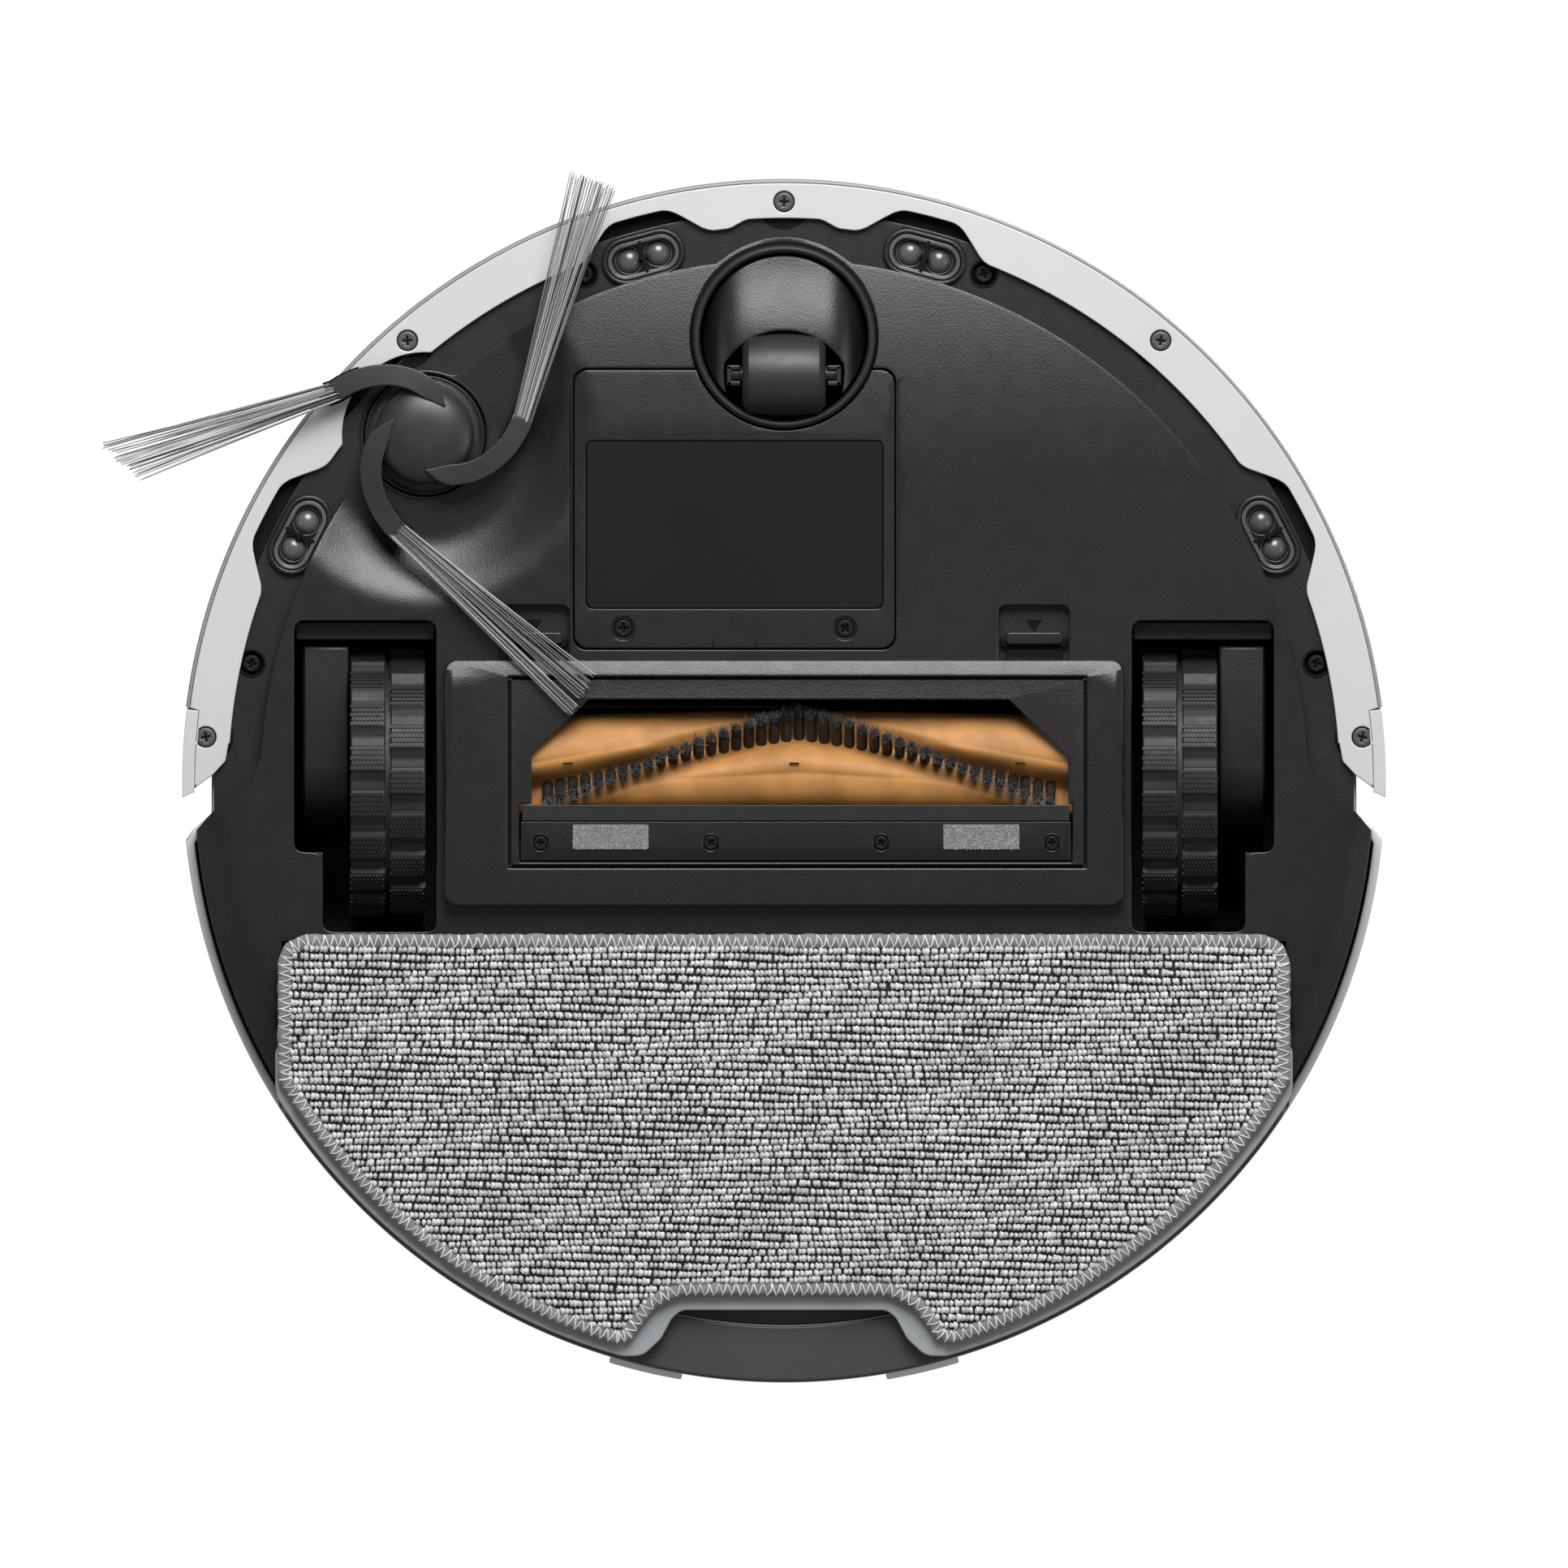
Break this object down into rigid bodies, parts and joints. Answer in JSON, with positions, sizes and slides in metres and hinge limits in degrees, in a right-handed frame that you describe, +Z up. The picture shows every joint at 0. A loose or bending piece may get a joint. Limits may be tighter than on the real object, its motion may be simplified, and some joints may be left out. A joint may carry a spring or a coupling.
{
  "type": "robot vacuum",
  "caption": "Round robot vacuum with a sprung front bumper, lidar turret, drive wheels, caster, side brush, main brush roller under a latched guard, and a sliding water tank with a mop pad.",
  "frame": {"origin": "on the floor, under the middle of the object's box; the round body's axis is 12.0 mm towards +X and 1.3 mm towards +Y from it, because the side brush reaches past the body", "axes": "+Z up, -Y the front of the robot, +X the robot's side away from the side brush"},
  "size_m": [0.3736, 0.3522, 0.101],
  "materials": {
    "white_plastic": "satin moulded",
    "black_plastic": "fine pebble texture",
    "dark_plastic": "smooth satin",
    "grey_plastic": "smooth satin",
    "tyre_rubber": "moulded tread",
    "orange_rubber": "smooth moulded rubber",
    "bristle": "nylon bristle",
    "pale_bristle": "nylon bristle",
    "mop_cloth": "looped microfibre",
    "sensor_lens": "clear window over a dark cell",
    "contact_metal": "polished plating",
    "steel": "drawn",
    "circuit_board": "solder mask",
    "battery_wrap": "shrink wrap"
  },
  "bodies": {
    "chassis": {"bottom_chassis": "black_plastic", "upper_housing": "white_plastic", "top_cover": "white_plastic", "rear_frame": "black_plastic", "battery_cover": "black_plastic", "battery_pack": "battery_wrap", "caster_socket": "black_plastic", "side_brush_gearbox": "dark_plastic", "brush_housing": "black_plastic", "brush_motor": "steel", "main_board": "circuit_board", "fan_housing": "dark_plastic", "charging_contact_left": "contact_metal", "charging_contact_right": "contact_metal", "cliff_sensor_left_side": "sensor_lens", "cliff_sensor_left_front": "sensor_lens", "cliff_sensor_right_front": "sensor_lens", "cliff_sensor_right_side": "sensor_lens", "lidar_base": "dark_plastic", "lidar_cover": "white_plastic", "wheel_carrier_left": "black_plastic", "wheel_carrier_right": "black_plastic", "suspension_spring_left": "steel", "suspension_spring_right": "steel", "bumper_spring_left": "steel", "bumper_spring_right": "steel"},
    "bumper": {"bumper_shell": "white_plastic", "bumper_trim_left": "white_plastic", "bumper_trim_right": "white_plastic"},
    "drive_arm_left": {"drive_arm_left": "black_plastic"},
    "drive_arm_right": {"drive_arm_right": "black_plastic"},
    "wheel_left": {"wheel_hub_left": "dark_plastic", "tyre_left": "tyre_rubber"},
    "wheel_right": {"wheel_hub_right": "dark_plastic", "tyre_right": "tyre_rubber"},
    "caster": {"caster_fork": "black_plastic", "caster_axle": "steel"},
    "caster_wheel": {"caster_wheel": "tyre_rubber"},
    "roller": {"roller_core": "orange_rubber", "bristle_row": "bristle"},
    "guard": {"brush_guard": "black_plastic", "scraper_strip": "dark_plastic"},
    "latch_left": {"guard_latch_left": "black_plastic"},
    "latch_right": {"guard_latch_right": "black_plastic"},
    "side_brush": {"side_brush_hub": "dark_plastic", "side_brush_tuft_1": "pale_bristle", "side_brush_tuft_2": "pale_bristle", "side_brush_tuft_3": "pale_bristle"},
    "fan_wheel": {"fan_impeller": "grey_plastic"},
    "lidar_head": {"lidar_rotor": "dark_plastic"},
    "home_button": {"home_button": "white_plastic"},
    "power_button": {"power_button": "white_plastic"},
    "tank": {"water_tank": "grey_plastic"},
    "tank_button": {"tank_button": "grey_plastic"},
    "mop": {"mop_plate": "grey_plastic", "mop_pad": "mop_cloth"},
    "bin": {"dust_bin": "dark_plastic", "dust_bin_lid": "white_plastic"}
  },
  "joints": [
    {"name": "bumper_push", "type": "slide", "parent": "chassis", "child": "bumper", "axis": [0, 1, 0], "range_m": [0, 0.004], "stiffness_N_per_m": 400, "springref_m": -0.004, "deforming": ["bumper_spring_left", "bumper_spring_right"]},
    {"name": "suspension_left", "type": "hinge", "parent": "chassis", "child": "drive_arm_left", "pos_m": [-0.121, -0.0327, 0.052], "axis": [-1, 0, 0], "range_deg": [0, 12], "stiffness_Nm_per_rad": 0.08, "springref_deg": 68.75, "deforming": ["suspension_spring_left"]},
    {"name": "wheel_left_spin", "type": "hinge", "parent": "drive_arm_left", "child": "wheel_left", "pos_m": [-0.103, 0.0013, 0.0388], "axis": [1, 0, 0], "continuous": true},
    {"name": "suspension_right", "type": "hinge", "parent": "chassis", "child": "drive_arm_right", "pos_m": [0.145, -0.0327, 0.052], "axis": [-1, 0, 0], "range_deg": [0, 12], "stiffness_Nm_per_rad": 0.08, "springref_deg": 68.75, "deforming": ["suspension_spring_right"]},
    {"name": "wheel_right_spin", "type": "hinge", "parent": "drive_arm_right", "child": "wheel_right", "pos_m": [0.127, 0.0013, 0.0388], "axis": [1, 0, 0], "continuous": true},
    {"name": "caster_swivel", "type": "hinge", "parent": "chassis", "child": "caster", "pos_m": [0.012, -0.1279, 0.03], "axis": [0, 0, 1], "continuous": true},
    {"name": "caster_roll", "type": "hinge", "parent": "caster", "child": "caster_wheel", "pos_m": [0.012, -0.117, 0.012], "axis": [1, 0, 0], "continuous": true},
    {"name": "roller_spin", "type": "hinge", "parent": "chassis", "child": "roller", "pos_m": [0.0164, -0.0032, 0.0233], "axis": [1, 0, 0], "continuous": true, "deforming": ["bristle_row"]},
    {"name": "guard_open", "type": "hinge", "parent": "chassis", "child": "guard", "pos_m": [0.012, 0.0374, 0.0107], "axis": [1, 0, 0], "range_deg": [0, 75]},
    {"name": "latch_left_press", "type": "slide", "parent": "guard", "child": "latch_left", "axis": [0, 1, 0], "range_m": [0, 0.0015], "stiffness_N_per_m": 800, "springref_m": -0.001},
    {"name": "latch_right_press", "type": "slide", "parent": "guard", "child": "latch_right", "axis": [0, 1, 0], "range_m": [0, 0.0015], "stiffness_N_per_m": 800, "springref_m": -0.001},
    {"name": "side_brush_spin", "type": "hinge", "parent": "chassis", "child": "side_brush", "pos_m": [-0.0923, -0.0993, 0.01], "axis": [0, 0, 1], "continuous": true, "deforming": ["side_brush_tuft_1", "side_brush_tuft_2", "side_brush_tuft_3"]},
    {"name": "fan_spin", "type": "hinge", "parent": "chassis", "child": "fan_wheel", "pos_m": [0.112, 0.0833, 0.058], "axis": [0, 0, 1], "continuous": true},
    {"name": "lidar_spin", "type": "hinge", "parent": "chassis", "child": "lidar_head", "pos_m": [0.012, -0.0607, 0.09], "axis": [0, 0, 1], "continuous": true},
    {"name": "home_button_press", "type": "slide", "parent": "chassis", "child": "home_button", "axis": [0, 0, -1], "range_m": [0, 0.001], "stiffness_N_per_m": 600, "springref_m": -0.001},
    {"name": "power_button_press", "type": "slide", "parent": "chassis", "child": "power_button", "axis": [0, 0, -1], "range_m": [0, 0.001], "stiffness_N_per_m": 600, "springref_m": -0.001},
    {"name": "tank_slide", "type": "slide", "parent": "chassis", "child": "tank", "axis": [0, 1, 0], "range_m": [0, 0.13]},
    {"name": "tank_button_press", "type": "slide", "parent": "tank", "child": "tank_button", "axis": [0, -1, 0], "range_m": [0, 0.0015], "stiffness_N_per_m": 800, "springref_m": -0.001},
    {"name": "mop_slide", "type": "slide", "parent": "tank", "child": "mop", "axis": [0, 1, 0], "range_m": [0, 0.06]},
    {"name": "bin_lift", "type": "slide", "parent": "chassis", "child": "bin", "axis": [0, 0, 1], "range_m": [0, 0.06]}
  ]
}
